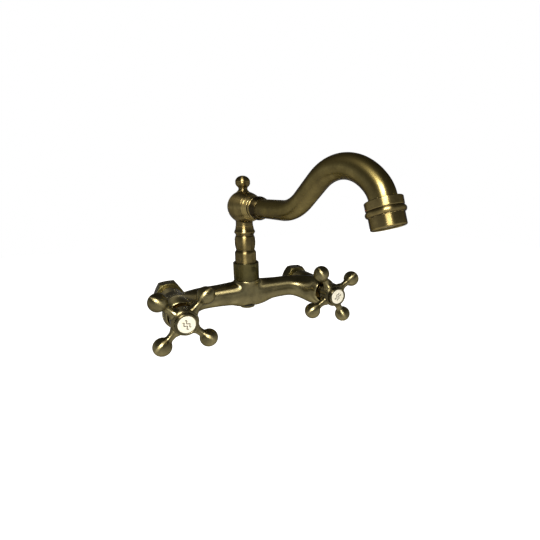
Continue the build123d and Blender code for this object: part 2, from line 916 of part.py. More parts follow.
def disc_ports(side, out, turn):
    """The two round ports of a disc."""
    sketch = Sketch() + [
        Rot(0, 0, turn) * Pos(k * disc_port_place, 0) * Circle(disc_port_radius) for k in (-1, 1)
    ]
    return extrude(facing_plane(side, out - 1) * sketch, disc_thickness + 2)


def fixed_disc(side):
    """Ceramic disc pressed against the seat's seal."""
    low = fixed_disc_low()
    disc = ring(valve_plane(side), low, low + disc_thickness, 0, disc_radius)
    return disc - disc_ports(side, fixed_disc_low(), 0)


def moving_disc(side):
    """Ceramic disc that the spindle turns over the fixed one."""
    disc = ring(valve_plane(side), moving_disc_low(), moving_disc_top(), 0, disc_radius)
    slot_width = spindle_tongue_width + 2 * seat_gap
    slot_depth = spindle_tongue_depth + seat_gap
    slot = Box(2 * disc_radius, 2 * slot_depth, slot_width)
    disc -= Pos(side * half_spacing, -moving_disc_top(), 0) * slot
    return disc - disc_ports(side, moving_disc_low(), 90)


def seat_seal(side):
    """Rubber seal between the fixed disc and the casting's seat."""
    return ring(
        valve_plane(side),
        seat_out,
        fixed_disc_low(),
        seal_inner_radius,
        headwork_skirt_bore - seat_gap,
    )


def headwork_gasket(side):
    """Rubber ring under the headwork's flange."""
    place = shoulder_out + gasket_wire_radius
    middle = (valve_thread_radius + mouth_radius) / 2
    return wire_ring(valve_plane(side), place, middle, gasket_wire_radius - seal_gap)


def spline_section(side, out, gap):
    """Toothed outline of the spindle's top."""
    points = []
    for tooth in range(spline_teeth):
        for share, radius in ((0, spline_outer_radius), (0.5, spline_root_radius)):
            angle = 2 * pi * (tooth + share) / spline_teeth
            points.append(((radius + gap) * cos(angle), (radius + gap) * sin(angle)))
    return facing_plane(side, out) * make_face(Polyline(*points, close=True))


def clip_low():
    """Where the spindle's clip rests on the headwork."""
    return headwork_top_out + running_gap


def spindle(side):
    """Brass spindle: foot with a tongue, sealed journal, clip groove and splined top."""
    plane = valve_plane(side)
    foot_top = moving_disc_top() + spindle_foot_thickness
    clip_high = clip_low() + clip_thickness
    stem = turned_points(
        plane,
        (moving_disc_top(), 0),
        (moving_disc_top(), spindle_foot_radius),
        (foot_top, spindle_foot_radius),
        (foot_top, spindle_radius),
        (clip_low() - seat_gap, spindle_radius),
        (clip_low() - seat_gap, clip_groove_radius),
        (clip_high + seat_gap, clip_groove_radius),
        (clip_high + seat_gap, spindle_radius),
        (clip_high + 1, spindle_radius),
        (clip_high + 1, 0),
    )
    tongue = Box(2 * spindle_foot_radius - 2, 2 * spindle_tongue_depth, spindle_tongue_width)
    stem += Pos(side * half_spacing, -moving_disc_top(), 0) * tongue
    stem += extrude(spline_section(side, clip_high + 1, 0), spline_end() - clip_high - 1)
    for place in spindle_seal_places():
        low = place - o_ring_wire_radius - running_gap
        high = place + o_ring_wire_radius + running_gap
        floor = spindle_seal_radius() - o_ring_wire_radius - seat_gap
        stem -= ring(plane, low, high, floor, disc_radius)
    screw_depth = screw_length + seat_gap
    return stem - ring(plane, spline_end() - screw_depth, spline_end(), 0, screw_radius + seat_gap)


def spline_end():
    """Where the spindle's splined top ends inside the handle."""
    return cup_floor_out - cup_web - seat_gap


def spindle_seal_places():
    """Where the spindle's two seals lie."""
    first = shoulder_out - 2
    return first, first + 4.5


def spindle_seal_radius():
    """Radius of the spindle seals' centre line, just clear of the headwork's bore."""
    return spindle_radius + running_gap - o_ring_wire_radius - seal_gap


def spindle_o_rings(side):
    """Two rubber seals on the spindle."""
    return [
        wire_ring(valve_plane(side), place, spindle_seal_radius(), o_ring_wire_radius)
        for place in spindle_seal_places()
    ]


def spindle_clip(side):
    """Spring clip that keeps the spindle in the headwork."""
    plane = valve_plane(side)
    clip_high = clip_low() + clip_thickness
    clip = ring(plane, clip_low(), clip_high, clip_groove_radius + seat_gap, clip_radius)
    opening = Box(clip_groove_radius, 4 * clip_thickness, 2 * clip_radius)
    return clip - Pos(side * half_spacing, -clip_low(), -clip_radius - 1) * opening


def handle_hub(side):
    """Hub of a cross handle: cup for the bezel, four sockets, splined bore and skirt."""
    plane = valve_plane(side)
    back = handle_out - handle_hub_half_length
    front = handle_out + handle_hub_half_length
    outside = Polyline(
        (front, 0),
        (front, handle_hub_radius - handle_hub_round),
        (front - handle_hub_round / 3, handle_hub_radius - handle_hub_round / 3),
        (front - handle_hub_round, handle_hub_radius),
        (back + 0.5, handle_hub_radius),
        (back, handle_hub_radius - 0.5),
        (back, skirt_radius + 0.7),
        (back - 0.8, skirt_radius),
        (skirt_end_out, skirt_radius),
        (skirt_end_out, 0),
        (front, 0),
    )
    hub = turned(plane, outside)
    hub -= ring(plane, cup_floor_out, front, 0, cup_radius)
    hub -= ring(plane, cup_floor_out - cup_web, cup_floor_out, 0, screw_radius + 0.2)
    splined_length = cup_floor_out - cup_web - skirt_end_out
    hub -= extrude(spline_section(side, skirt_end_out, seat_gap), splined_length)
    hub -= ring(plane, skirt_end_out, clip_low() + clip_thickness + 2, 0, skirt_bore_radius)
    for turn in cross_angles(side):
        arm_plane = handle_arm_plane(side, turn)
        start = cup_radius + arm_tang_wall - seat_gap
        hub -= ring(arm_plane, start, handle_hub_radius + 1, 0, arm_tang_radius + seat_gap)
    return hub


def cross_angles(side):
    """Directions of a handle's four arms, from the left round over the top."""
    first = left_cross_angle if side < 0 else right_cross_angle
    return [first + 90 * arm for arm in range(4)]


def handle_arm_plane(side, turn):
    """Along one arm, outwards from the valve axis."""
    return Plane(
        origin=(side * half_spacing, -handle_out, 0),
        x_dir=(-cos(radians(turn)), 0, sin(radians(turn))),
        z_dir=(0, -1, 0),
    )


def handle_arm(side, turn):
    """One turned arm with its ball, screwed into the hub by a tang."""
    plane = handle_arm_plane(side, turn)
    foot = handle_hub_radius + arm_foot_length
    throat = arm_reach - sqrt(arm_ball_radius**2 - arm_ball_throat**2)
    stem_end = throat - arm_throat_length
    inside = handle_hub_radius - arm_foot_radius / 2
    flare = Spline(
        (inside, arm_foot_radius + 0.6),
        (handle_hub_radius, arm_foot_radius),
        (foot, arm_radius + 0.25),
        (stem_end, arm_radius),
    )
    fillet = ThreePointArc(
        (stem_end, arm_radius),
        ((stem_end + throat) / 2 + 0.35, arm_radius + 0.55),
        (throat, arm_ball_throat),
    )
    ball = ThreePointArc(
        (throat, arm_ball_throat),
        (arm_reach, arm_ball_radius),
        (arm_reach + arm_ball_radius, 0),
    )
    base = Polyline(
        (arm_reach + arm_ball_radius, 0),
        (inside, 0),
        (inside, arm_foot_radius + 0.6),
    )
    arm = turned(plane, flare, fillet, ball, base)
    hub_space = handle_hub_radius + seat_gap
    low = handle_out - 2 * arm_foot_radius
    arm -= ring(valve_plane(side), low, low + 4 * arm_foot_radius, 0, hub_space)
    tang_start = cup_radius + arm_tang_wall
    return arm + ring(plane, tang_start, handle_hub_radius + 1, 0, arm_tang_radius)


def handle_bezel(side):
    """Threaded ring that holds the index disc in the hub's cup."""
    front = handle_out + handle_hub_half_length
    stem = cup_radius - seat_gap
    floor = bezel_face_out - index_recess - index_thickness
    start = cup_floor_out + screw_head_height + free_gap
    return turned_points(
        valve_plane(side),
        (start, stem - bezel_wall),
        (start, stem),
        (front + seat_gap, stem),
        (front + seat_gap, bezel_radius),
        (bezel_face_out - 0.7, bezel_radius),
        (bezel_face_out, bezel_radius - 0.6),
        (bezel_face_out, bezel_radius - bezel_wall),
        (floor, bezel_radius - bezel_wall),
        (floor, stem - bezel_wall),
    )


def index_disc(side):
    """Round index disc in the bezel."""
    face = bezel_face_out - index_recess
    outer = bezel_radius - bezel_wall - index_clearance
    disc = turned_points(
        valve_plane(side),
        (face - index_thickness, 0),
        (face - index_thickness, outer),
        (face - 0.4, outer),
        (face, outer - 0.5),
        (face, 0),
    )
    return disc


def handle_screw(side):
    """Slotted pan-head screw that holds the handle on its spindle."""
    plane = valve_plane(side)
    screw = ring(plane, spline_end() - screw_length, cup_floor_out, 0, screw_radius)
    head_top = cup_floor_out + screw_head_height
    screw += turned_points(
        plane,
        (cup_floor_out, 0),
        (cup_floor_out, screw_head_radius),
        (head_top - 0.8, screw_head_radius),
        (head_top, screw_head_radius - 0.9),
        (head_top, 0),
    )
    slot = Box(3 * screw_head_radius, 2 * screw_slot_depth, screw_slot_width)
    return screw - Pos(side * half_spacing, -head_top, 0) * slot


def write(name, shape):
    """Save one node, which may be a list of like pieces."""
    pieces = shape if isinstance(shape, list) else [shape]
    solids = [solid for piece in pieces for solid in piece.solids()]
    node = Compound(children=solids) if len(solids) > 1 else solids[0]
    export_step(node, f"parts/{name}.step")


os.makedirs("parts", exist_ok=True)
write("bridge_body", bridge_body())
write("bottom_plug", bottom_plug())
write("bottom_plug_seal", bottom_plug_seal())
write("column_nut", column_nut())
write("thrust_washer", thrust_washer())
write("column_slip_ring", column_slip_ring())
write("column_post", column_post())
write("column_o_rings", column_o_rings())
write("hub_joint_seal", hub_joint_seal())
write("spout_hub", spout_hub())
write("finial", finial())
write("spout_tube", spout_tube())
write("spout_collar", spout_collar())
write("aerator_shell", aerator_shell())
write("aerator_insert", aerator_insert())
write("aerator_screen", aerator_screen())
write("aerator_washer", aerator_washer())
for label, hand in (("left", -1), ("right", 1)):
    write(f"{label}_union_nut", union_nut(hand))
    write(f"{label}_nut_snap_ring", nut_snap_ring(hand))
    write(f"{label}_inlet_washer", inlet_washer(hand))
    write(f"{label}_headwork", headwork(hand))
    write(f"{label}_headwork_gasket", headwork_gasket(hand))
    write(f"{label}_fixed_disc", fixed_disc(hand))
    write(f"{label}_moving_disc", moving_disc(hand))
    write(f"{label}_seat_seal", seat_seal(hand))
    write(f"{label}_spindle", spindle(hand))
    write(f"{label}_spindle_clip", spindle_clip(hand))
    write(f"{label}_spindle_o_rings", spindle_o_rings(hand))
    write(f"{label}_handle_hub", handle_hub(hand))
    write(f"{label}_handle_bezel", handle_bezel(hand))
    write(f"{label}_index_disc", index_disc(hand))
    write(f"{label}_handle_screw", handle_screw(hand))
    for number, turn in enumerate(cross_angles(hand), 1):
        write(f"{label}_handle_arm_{number}", handle_arm(hand, turn))
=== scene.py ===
import json
from math import atan2, cos, degrees, pi, radians, sin, sqrt

import bpy
import numpy
from mathutils import Matrix, Vector


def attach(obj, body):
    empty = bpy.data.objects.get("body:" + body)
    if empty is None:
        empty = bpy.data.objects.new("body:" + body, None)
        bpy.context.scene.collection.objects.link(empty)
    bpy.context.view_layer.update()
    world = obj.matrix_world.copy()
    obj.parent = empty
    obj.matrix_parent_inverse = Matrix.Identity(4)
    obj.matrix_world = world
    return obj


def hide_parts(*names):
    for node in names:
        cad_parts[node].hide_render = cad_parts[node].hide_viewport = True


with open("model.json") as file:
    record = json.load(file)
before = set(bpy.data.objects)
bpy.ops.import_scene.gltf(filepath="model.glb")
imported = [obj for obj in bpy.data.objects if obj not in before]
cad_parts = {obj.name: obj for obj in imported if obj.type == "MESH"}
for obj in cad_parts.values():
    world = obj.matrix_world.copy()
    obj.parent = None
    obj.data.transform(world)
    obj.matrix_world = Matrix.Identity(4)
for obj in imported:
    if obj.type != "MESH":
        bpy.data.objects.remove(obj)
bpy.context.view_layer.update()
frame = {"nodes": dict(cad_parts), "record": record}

# Antique bronze finish. Brass is darkened in a bath, brushed so that raised edges show
# paler metal, and lacquered. The brush lines run round each turned piece, so a highlight
# is drawn out along it.


def linear(code):
    """An sRGB hex colour as linear red, green, blue and alpha."""
    parts = [int(code[k:k + 2], 16) / 255 for k in (1, 3, 5)]
    return [c / 12.92 if c <= 0.04045 else ((c + 0.055) / 1.055) ** 2.4 for c in parts] + [1.0]


def add_node(tree, kind, inputs=(), **settings):
    """Adds a node with its settings, and sets or links its inputs."""
    node = tree.nodes.new(kind)
    for key, value in settings.items():
        setattr(node, key, value)
    for key, value in dict(inputs).items():
        if isinstance(value, bpy.types.NodeSocket):
            tree.links.new(value, node.inputs[key])
        else:
            node.inputs[key].default_value = value
    return node


def ramp_colours(node, *stops):
    """Sets a colour ramp's stops, each a place and a hex colour."""
    elements = node.color_ramp.elements
    while len(elements) < len(stops):
        elements.new(0.5)
    for element, (place, code) in zip(elements, stops):
        element.position = place
        element.color = linear(code)


def bronze(name, dark, middle, bright, roughness, stretch):
    """Patinated, brushed and lacquered brass on a piece that has brush, lay and wear attributes; on the spout collar
    and union nuts the wear values also hold painted highlight and shade.
    """
    material = bpy.data.materials.new(name)
    material.use_nodes = True
    tree = material.node_tree
    shader = tree.nodes["Principled BSDF"]
    lay = add_node(tree, "ShaderNodeAttribute", attribute_name="lay")
    wear_and_painted_light = add_node(tree, "ShaderNodeAttribute", attribute_name="wear_and_painted_light")
    brush = add_node(tree, "ShaderNodeAttribute", attribute_name="brush")
    place = add_node(tree, "ShaderNodeTexCoord")
    # Brush lines about 0.15 mm apart, coarsened from the real 0.05 mm
    lines = add_node(tree, "ShaderNodeTexNoise", {"Vector": lay.outputs["Vector"], "Scale": 6.5, "Detail": 2.0, "Roughness": 0.6})
    # Patina clouds about 14 mm across, with mottling of 3 mm in them
    clouds = add_node(tree, "ShaderNodeTexNoise", {"Vector": place.outputs["Object"], "Scale": 70.0, "Detail": 4.0, "Roughness": 0.62})
    specks = add_node(tree, "ShaderNodeTexNoise", {"Vector": place.outputs["Object"], "Scale": 1100.0, "Detail": 2.0, "Roughness": 0.7})
    depth = add_node(tree, "ShaderNodeMath", {0: wear_and_painted_light.outputs["Fac"], 1: 0.34, 2: 0.0}, operation="MULTIPLY_ADD")
    cloudy = add_node(tree, "ShaderNodeMath", {0: clouds.outputs["Fac"], 1: 0.62, 2: depth.outputs["Value"]}, operation="MULTIPLY_ADD")
    lined = add_node(tree, "ShaderNodeMath", {0: lines.outputs["Fac"], 1: 0.16, 2: cloudy.outputs["Value"]}, operation="MULTIPLY_ADD")
    speckled = add_node(tree, "ShaderNodeMath", {0: specks.outputs["Fac"], 1: 0.10, 2: lined.outputs["Value"]}, operation="MULTIPLY_ADD")
    tint = add_node(tree, "ShaderNodeValToRGB", {"Fac": speckled.outputs["Value"]})
    ramp_colours(tint, (0.18, dark), (0.50, middle), (0.86, bright))
    dull = add_node(
        tree, "ShaderNodeMapRange",
        {"Value": clouds.outputs["Fac"], "From Min": 0.3, "From Max": 0.7, "To Min": roughness + 0.05, "To Max": roughness - 0.04},
    )
    bump = add_node(tree, "ShaderNodeBump", {"Height": lines.outputs["Fac"], "Strength": 0.12, "Distance": 0.00004})
    cast = add_node(
        tree, "ShaderNodeBump",
        {"Height": clouds.outputs["Fac"], "Strength": 0.06, "Distance": 0.0006, "Normal": bump.outputs["Normal"]},
    )
    along = add_node(
        tree, "ShaderNodeVectorTransform", {"Vector": brush.outputs["Vector"]},
        vector_type="VECTOR", convert_from="OBJECT", convert_to="WORLD",
    )
    tree.links.new(tint.outputs["Color"], shader.inputs["Base Color"])
    tree.links.new(dull.outputs["Result"], shader.inputs["Roughness"])
    tree.links.new(cast.outputs["Normal"], shader.inputs["Normal"])
    tree.links.new(along.outputs["Vector"], shader.inputs["Tangent"])
    shader.inputs["Metallic"].default_value = 1.0
    shader.inputs["Anisotropic"].default_value = stretch
    shader.inputs["Specular Tint"].default_value = linear("#5a5644")
    shader.inputs["Coat Weight"].default_value = 0.25
    shader.inputs["Coat Roughness"].default_value = 0.18
    return material


antique_bronze = bronze("antique_bronze", "#3c3726", "#8e845f", "#cfc391", 0.33, 0.9)
bronze_nut = bronze("olive_bronze", "#3b3722", "#6f673f", "#9a8f5e", 0.42, 0.0)
spout_bronze = bronze("brown_bronze", "#382f1b", "#7c6e46", "#c3af74", 0.34, 0.88)
tube_bronze = bronze("tube_bronze", "#3c331d", "#7c6f43", "#c2ae72", 0.33, 0.55)


def put(piece, body, slot_name, material, *nodes):
    """Gives a piece its material, its place on a body and the nodes that it stands for."""
    piece.data.materials.clear()
    piece.data.materials.append(material)
    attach(piece, body)
    if nodes:
        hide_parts(*nodes)
    return piece


def paint(mesh, name, values, kind="FLOAT_VECTOR"):
    """Stores one value for each vertex."""
    layer = mesh.attributes.new(name, kind, "POINT")
    key = "vector" if kind == "FLOAT_VECTOR" else "value"
    layer.data.foreach_set(key, numpy.asarray(values, dtype=numpy.float32).ravel())


def paint_wear_and_light(mesh, reach, gain, rubbed_and_painted_light=0.0):
    """Wear from the mesh's own shape, above 0 on raised edges and below 0 in recesses, plus the given extra values,
    which are rubbed wear, and on the spout collar and union nuts painted highlight and shade.
    """
    count = len(mesh.vertices)
    places = numpy.zeros(count * 3)
    mesh.vertices.foreach_get("co", places)
    places = places.reshape(-1, 3)
    normals = numpy.zeros(count * 3)
    mesh.vertices.foreach_get("normal", normals)
    normals = normals.reshape(-1, 3)
    edges = numpy.zeros(len(mesh.edges) * 2, dtype=int)
    mesh.edges.foreach_get("vertices", edges)
    a, b = edges.reshape(-1, 2).T
    step = places[b] - places[a]
    length = numpy.maximum(numpy.linalg.norm(step, axis=1), 1e-7)
    bend = ((normals[b] - normals[a]) * step).sum(axis=1) / length**2
    total = numpy.bincount(a, bend, count) + numpy.bincount(b, bend, count)
    shares = numpy.maximum(numpy.bincount(a, minlength=count) + numpy.bincount(b, minlength=count), 1)
    value = total / shares
    for _ in range(reach):
        around = numpy.bincount(a, value[b], count) + numpy.bincount(b, value[a], count)
        value = 0.4 * value + 0.6 * around / shares
    paint(mesh, "wear_and_painted_light", numpy.clip(value * gain, -1, 1) + rubbed_and_painted_light, "FLOAT")


# Bridge casting. Sand-cast brass in one piece: bridge, elbows, both valve barrels and the
# boss. Its skin is blended, ground and brushed, so the seams of the pattern are gone, and
# the barrels' mouths keep a turned rim.


def skinned(name, node, grain, blend):
    """A cast piece's skin: the solid with its inner corners filled and its edges eased."""
    piece = bpy.data.objects.new(name, frame["nodes"][node].data.copy())
    bpy.context.scene.collection.objects.link(piece)
    remesh = piece.modifiers.new("skin", "REMESH")
    remesh.mode = "VOXEL"
    remesh.voxel_size = grain
    smooth = piece.modifiers.new("ease", "SMOOTH")
    smooth.factor = 0.5
    smooth.iterations = blend
    shape = bpy.data.meshes.new_from_object(piece.evaluated_get(bpy.context.evaluated_depsgraph_get()))
    piece.modifiers.clear()
    piece.data = shape
    shape.shade_smooth()
    return piece


elbow_centre = (0.045, -0.069)


def casting_brush(place):
    """Direction of the highlight on the casting, and the lay of the brush lines round it."""
    x, y, z = place
    side = 1 if x >= 0 else -1
    across = abs(x) - elbow_centre[0]
    out = y - elbow_centre[1]
    turn = min(max(atan2(across, out), 0), pi / 2) if across > 0 else 0.0
    run = Vector((side * cos(turn), -sin(turn), 0))
    rise = min(max((z - 0.009) / 0.006, 0), 1) * min(max((0.026 - abs(x)) / 0.010, 0), 1)
    brush = run.lerp(Vector((0, 0, 1)), rise).normalized()
    if abs(x) > 0.062 and y > -0.036:
        brush = Vector((0, -1, 0))
    if across <= 0:
        lay = (abs(x) * 1000, z * 40, (y + 0.039) * 40)
    elif turn < pi / 2:
        lay = (45 + 30 * turn, z * 40, (sqrt(across**2 + out**2) - 0.030) * 40)
    else:
        lay = (92 - out * 1000, z * 40, (abs(x) - 0.075) * 40)
    return brush, lay


casting = skinned("bridge_casting", "bridge_body", 0.0005, 14)
ground = casting.vertex_groups.new(name="ground")
for vertex in casting.data.vertices:
    x, y, z = vertex.co
    near = min(max((0.058 - abs(x)) / 0.02, 0), 1) * min(max((0.0135 - z) / 0.004, 0), 1) * min(max((z + 0.0135) / 0.003, 0), 1)
    if near > 0 and -0.060 < y < -0.022:
        ground.add([vertex.index], near, "REPLACE")
blend = casting.modifiers.new("blend", "SMOOTH")
blend.factor = 0.5
blend.iterations = 300
blend.vertex_group = "ground"
blended = bpy.data.meshes.new_from_object(casting.evaluated_get(bpy.context.evaluated_depsgraph_get()))
casting.modifiers.clear()
casting.vertex_groups.clear()
casting.data = blended
blended.shade_smooth()
lays = [casting_brush(vertex.co) for vertex in casting.data.vertices]
paint(casting.data, "brush", [brush for brush, lay in lays])
paint(casting.data, "lay", [lay for brush, lay in lays])
paint_wear_and_light(casting.data, 6, 0.0011)
put(casting, "fixed_body", "antique_bronze", antique_bronze, "bridge_body")


# Union nuts. Hexagon bar brass, turned and chamfered at both ends, with the same bath as
# the body. Each is held on its neck by a ring of steel wire.


def soften(points, size=0.3, steps=3):
    """A profile with its corners rounded, and a ring beside each so that the flats stay flat."""
    points = [Vector(p) for p in points]
    out = [points[0]]
    for before, here, after in zip(points, points[1:], points[2:]):
        into, away = before - here, after - here
        if into.length < 1e-6 or away.length < 1e-6:
            continue
        if degrees(into.angle(away)) > 165:
            out.append(here)
            continue
        reach = min(size, into.length * 0.4, away.length * 0.4)
        out.append(here + into.normalized() * reach * 1.35)
        start, end = here + into.normalized() * reach, here + away.normalized() * reach
        for k in range(steps + 1):
            t = k / steps
            out.append(start.lerp(here, t).lerp(here.lerp(end, t), t))
        out.append(here + away.normalized() * reach * 1.35)
    out.append(points[-1])
    return out


def turned(name, origin, axis, up, profile, closed=True, segments=144, carve=None, wear_reach=3, rub_and_painted_light=None):
    """A turned piece. The profile gives places along the axis and radii, in millimetres; the last argument gives extra
    wear for a place, and on the spout collar and union nuts painted highlight and shade.
    """
    axis, up = Vector(axis).normalized(), Vector(up).normalized()
    side = axis.cross(up)
    if closed:
        middle = (Vector(profile[0]) + Vector(profile[1])) / 2
        profile = soften([middle] + list(profile[1:]) + [profile[0], middle])[:-1]
    else:
        profile = soften(profile)
    count = len(profile)
    run = [0.0]
    for before, here in zip(profile, profile[1:]):
        run.append(run[-1] + (here - before).length)
    vertices, brushes, lays, rubbed_and_painted_light = [], [], [], []
    for k, (along, radius) in enumerate(profile):
        before = profile[k - 1] if k or closed else profile[0]
        after = profile[(k + 1) % count] if k + 1 < count or closed else profile[-1]
        heading = (after - before).normalized()
        for s in range(segments):
            angle = 2 * pi * s / segments
            outward = cos(angle) * up + sin(angle) * side
            size = carve(angle, along, radius) if carve else radius
            vertices.append((Vector(origin) + along * axis + size * outward) / 1000)
            brushes.append(heading.x * axis + heading.y * outward)
            lays.append((run[k], cos(angle) * 0.6, sin(angle) * 0.6))
            rubbed_and_painted_light.append(rub_and_painted_light(along) if rub_and_painted_light else 0.0)
    faces = []
    for k in range(count if closed else count - 1):
        low, high = k * segments, (k + 1) % count * segments
        for s in range(segments):
            t = (s + 1) % segments
            faces.append((low + s, low + t, high + t, high + s))
    mesh = bpy.data.meshes.new(name)
    mesh.from_pydata(vertices, [], faces)
    mesh.validate()
    mesh.shade_smooth()
    paint(mesh, "brush", brushes)
    paint(mesh, "lay", lays)
    paint_wear_and_light(mesh, wear_reach, 0.0009, numpy.array(rubbed_and_painted_light))
    piece = bpy.data.objects.new(name, mesh)
    bpy.context.scene.collection.objects.link(piece)
    return piece


nut_flats = 27.0
nut_corner = nut_flats / sqrt(3)
nut_turns = {"left": -3.5, "right": 0.0}


def hexagon(turn):
    """Limits a turned bar to a hexagon with slightly rounded corners."""
    def carve(angle, along, radius):
        total = 0.0
        for k in range(6):
            facing = cos(angle - radians(60 * k + turn))
            total += max(facing, 0.0) ** 70
        return min(radius, nut_flats / 2 / total ** (1 / 70))
    return carve


for label, hand in (("left", -1), ("right", 1)):
    chamfer_back = [(2.3 * k / 8, nut_corner - 2.3 + 2.3 * k / 8) for k in range(9)]
    chamfer_front = [(12.8 + 2.2 * k / 8, nut_corner - 2.2 * k / 8) for k in range(9)]
    # The union nuts are coloured darker all over than the body, as painted shade standing for dark reflections on them.
    nut = turned(
        f"{label}_union_nut_body", (75 * hand, 0, 0), (0, -1, 0), (0, 0, 1),
        [(6.6, 9.3), (0.6, 9.3), (0, 9.9), *chamfer_back, *chamfer_front, (15, 8.25), (12.4, 8.25), (12.4, 9.65), (6.6, 9.65)],
        segments=240, carve=hexagon(-nut_turns[label]), wear_reach=9, rub_and_painted_light=lambda along: -0.35,
    )
    put(nut, "fixed_body", "antique_bronze", bronze_nut, f"{label}_union_nut")


# Column nut. Turned brass ring that holds the column down, with one shallow slot for a
# pin spanner. Its finish came out flatter and greener than the rest.

slot_facing = radians(15)


def spanner_slot(angle, along, radius):
    """Sinks the slot into the nut's side."""
    offset = (angle - slot_facing + pi) % (2 * pi) - pi
    inside = abs(offset * radius) < 2.5 and 29.7 <= along <= 32.0
    return radius - 0.9 if inside and radius > 12.5 else radius


column_nut = turned(
    "column_nut_ring", (0, -39, 0), (0, 0, 1), (0, -1, 0),
    [(15, 11.95), (29.4, 11.95), (29.4, 11.35), (32.1, 11.35), (33.4, 12.0), (33.4, 12.87), (32.97, 13.3),
     (32.05, 13.3), (31.95, 13.3), (31.0, 13.3), (30.3, 13.3), (29.75, 13.3), (29.65, 13.3), (22.0, 13.3), (15.3, 13.3), (15, 13.0)],
    segments=288, carve=spanner_slot,
)
put(column_nut, "fixed_body", "antique_bronze_nut", bronze_nut, "column_nut")


# Column. Turned from brass bar: a foot under the nut, a slim barrel between two grooves,
# a bead, and a neck that flares into the hub. It turns with the spout.


def arc_through(start, middle, end, steps=12):
    """Points on the circle through three places, leaving out the first."""
    (ax, ay), (bx, by), (cx, cy) = start, middle, end
    d = 2 * (ax * (by - cy) + bx * (cy - ay) + cx * (ay - by))
    ux = ((ax**2 + ay**2) * (by - cy) + (bx**2 + by**2) * (cy - ay) + (cx**2 + cy**2) * (ay - by)) / d
    uy = ((ax**2 + ay**2) * (cx - bx) + (bx**2 + by**2) * (ax - cx) + (cx**2 + cy**2) * (bx - ax)) / d
    size = sqrt((ax - ux) ** 2 + (ay - uy) ** 2)
    angles = [atan2(y - uy, x - ux) for x, y in (start, middle, end)]
    first = (angles[1] - angles[0] + pi) % (2 * pi) - pi
    second = (angles[2] - angles[1] + pi) % (2 * pi) - pi
    turn = first + second
    return [(ux + size * cos(angles[0] + turn * k / steps), uy + size * sin(angles[0] + turn * k / steps)) for k in range(1, steps + 1)]


def smooth_through(points, steps=6):
    """Points on a smooth curve through the given ones."""
    points = [Vector(p) for p in points]
    padded = [2 * points[0] - points[1], *points, 2 * points[-1] - points[-2]]
    out = []
    for a, b, c, d in zip(padded, padded[1:], padded[2:], padded[3:]):
        for k in range(steps):
            t = k / steps
            out.append(0.5 * (2 * b + (c - a) * t + (2 * a - 5 * b + 4 * c - d) * t**2 + (3 * b - a - 3 * c + d) * t**3))
    return [tuple(p) for p in out] + [tuple(points[-1])]


column_profile = [(25.25, 8.93), (25.25, 11.0), (42.0, 11.0)]
column_profile += arc_through((42.0, 11.0), (44.2, 10.7), (45.8, 9.5), 8)
column_profile += [(47.0, 9.5), (47.6, 9.8)]
column_profile += arc_through((47.6, 9.8), (53.85, 10.6), (60.1, 9.8), 14)
column_profile += [(60.9, 9.2), (62.1, 9.2), (64.0, 10.4), (64.7, 10.7), (65.3, 10.4)]
column_profile += smooth_through([(65.3, 10.4), (67.7, 9.4), (70.5, 8.9)])[1:]
column_profile += [(70.5, 5.2), (4.0, 5.2), (4.0, 8.93)]
column = turned("turned_column", (0, -39, 0), (0, 0, 1), (0, -1, 0), column_profile)
put(column, "spout", "antique_bronze", spout_bronze, "column_post")


# Spout hub. A pear-shaped casting, ground and brushed, that joins the column, the finial
# and the tube.

spout_along = Vector((sin(radians(8)), -cos(radians(8)), 0))
spout_height = 89.4


def hub_brush(place):
    """Direction of the highlight on the hub, and the lay of the brush lines round it."""
    offset = Vector(place) * 1000 - Vector((0, -39, spout_height))
    along = offset.dot(spout_along)
    outward = offset - along * spout_along
    size = outward.length
    upright = min(max((-offset.z - 11) / 3, 0), 1)
    slope = Vector((1, -along / 17.0))
    run = (slope.x * spout_along + slope.y * outward.normalized()).normalized() if size > 0.01 else spout_along
    facing = outward.normalized() if size > 0.01 else Vector((0, 0, 1))
    return run.lerp(Vector((0, 0, 1)), upright).normalized(), (along, facing.z * 0.6, facing.x * 0.6)


hub = skinned("pear_hub", "spout_hub", 0.00036, 10)
lays = [hub_brush(vertex.co) for vertex in hub.data.vertices]
paint(hub.data, "brush", [brush for brush, lay in lays])
paint(hub.data, "lay", [lay for brush, lay in lays])
paint_wear_and_light(hub.data, 4, 0.0009)
put(hub, "spout", "antique_bronze", spout_bronze, "spout_hub")

# The hub's turned front, with a groove cut before its rim
front_profile = smooth_through([(4.0, 15.3), (6.53, 15.11), (8.0, 14.99), (11.0, 14.35), (14.02, 13.56), (16.15, 12.92)], 4)
front_profile += [(16.2, 12.4), (17.1, 12.4), (17.15, 12.6), (19.2, 11.83), (19.2, 9.0), (8.0, 9.0), (4.0, 13.0)]
front = turned("hub_front", (0, -39, spout_height), spout_along, (0, 0, 1), front_profile, rub_and_painted_light=lambda along: -0.5 if 15.8 < along < 17.5 else 0.1)
put(front, "spout", "antique_bronze", spout_bronze)


# Finial. Turned brass ball with a fine groove round its middle, screwed into the hub.

ball_middle, ball_half, ball_radius = 113.4, 6.3, 7.4
finial_profile = [(100.0, 0.01), (100.0, 3.0), (104.8, 3.0), (104.8, 5.6), (105.2, 5.6)]
finial_profile += arc_through((105.2, 5.6), (106.94, 4.4), (108.68, 4.9), 8)
for step in range(1, 41):
    turn = 138.5 * (1 - step / 40)
    near_groove = abs(ball_half * cos(radians(turn)))
    cut = 0.35 if near_groove < 0.3 else 0.0
    finial_profile.append((ball_middle + ball_half * cos(radians(turn)), max((ball_radius - cut) * sin(radians(turn)), 0.01)))
finial = turned("finial_ball", (0, -39, 0), (0, 0, 1), (0, -1, 0), finial_profile, closed=False)
put(finial, "spout", "antique_bronze", spout_bronze, "finial")


# Spout tube. Drawn brass tube, bent cold over formers, polished lengthwise and patinated.

tube_radius, tube_wall = 8.6, 1.6
tube_runs = ((60.9, 0, 0), (0, 44.7, 38.7), (21.6, 0, 0), (0, 40.6, -84.5), (0, 22.0, -25.6), (2.8, 0, 0))


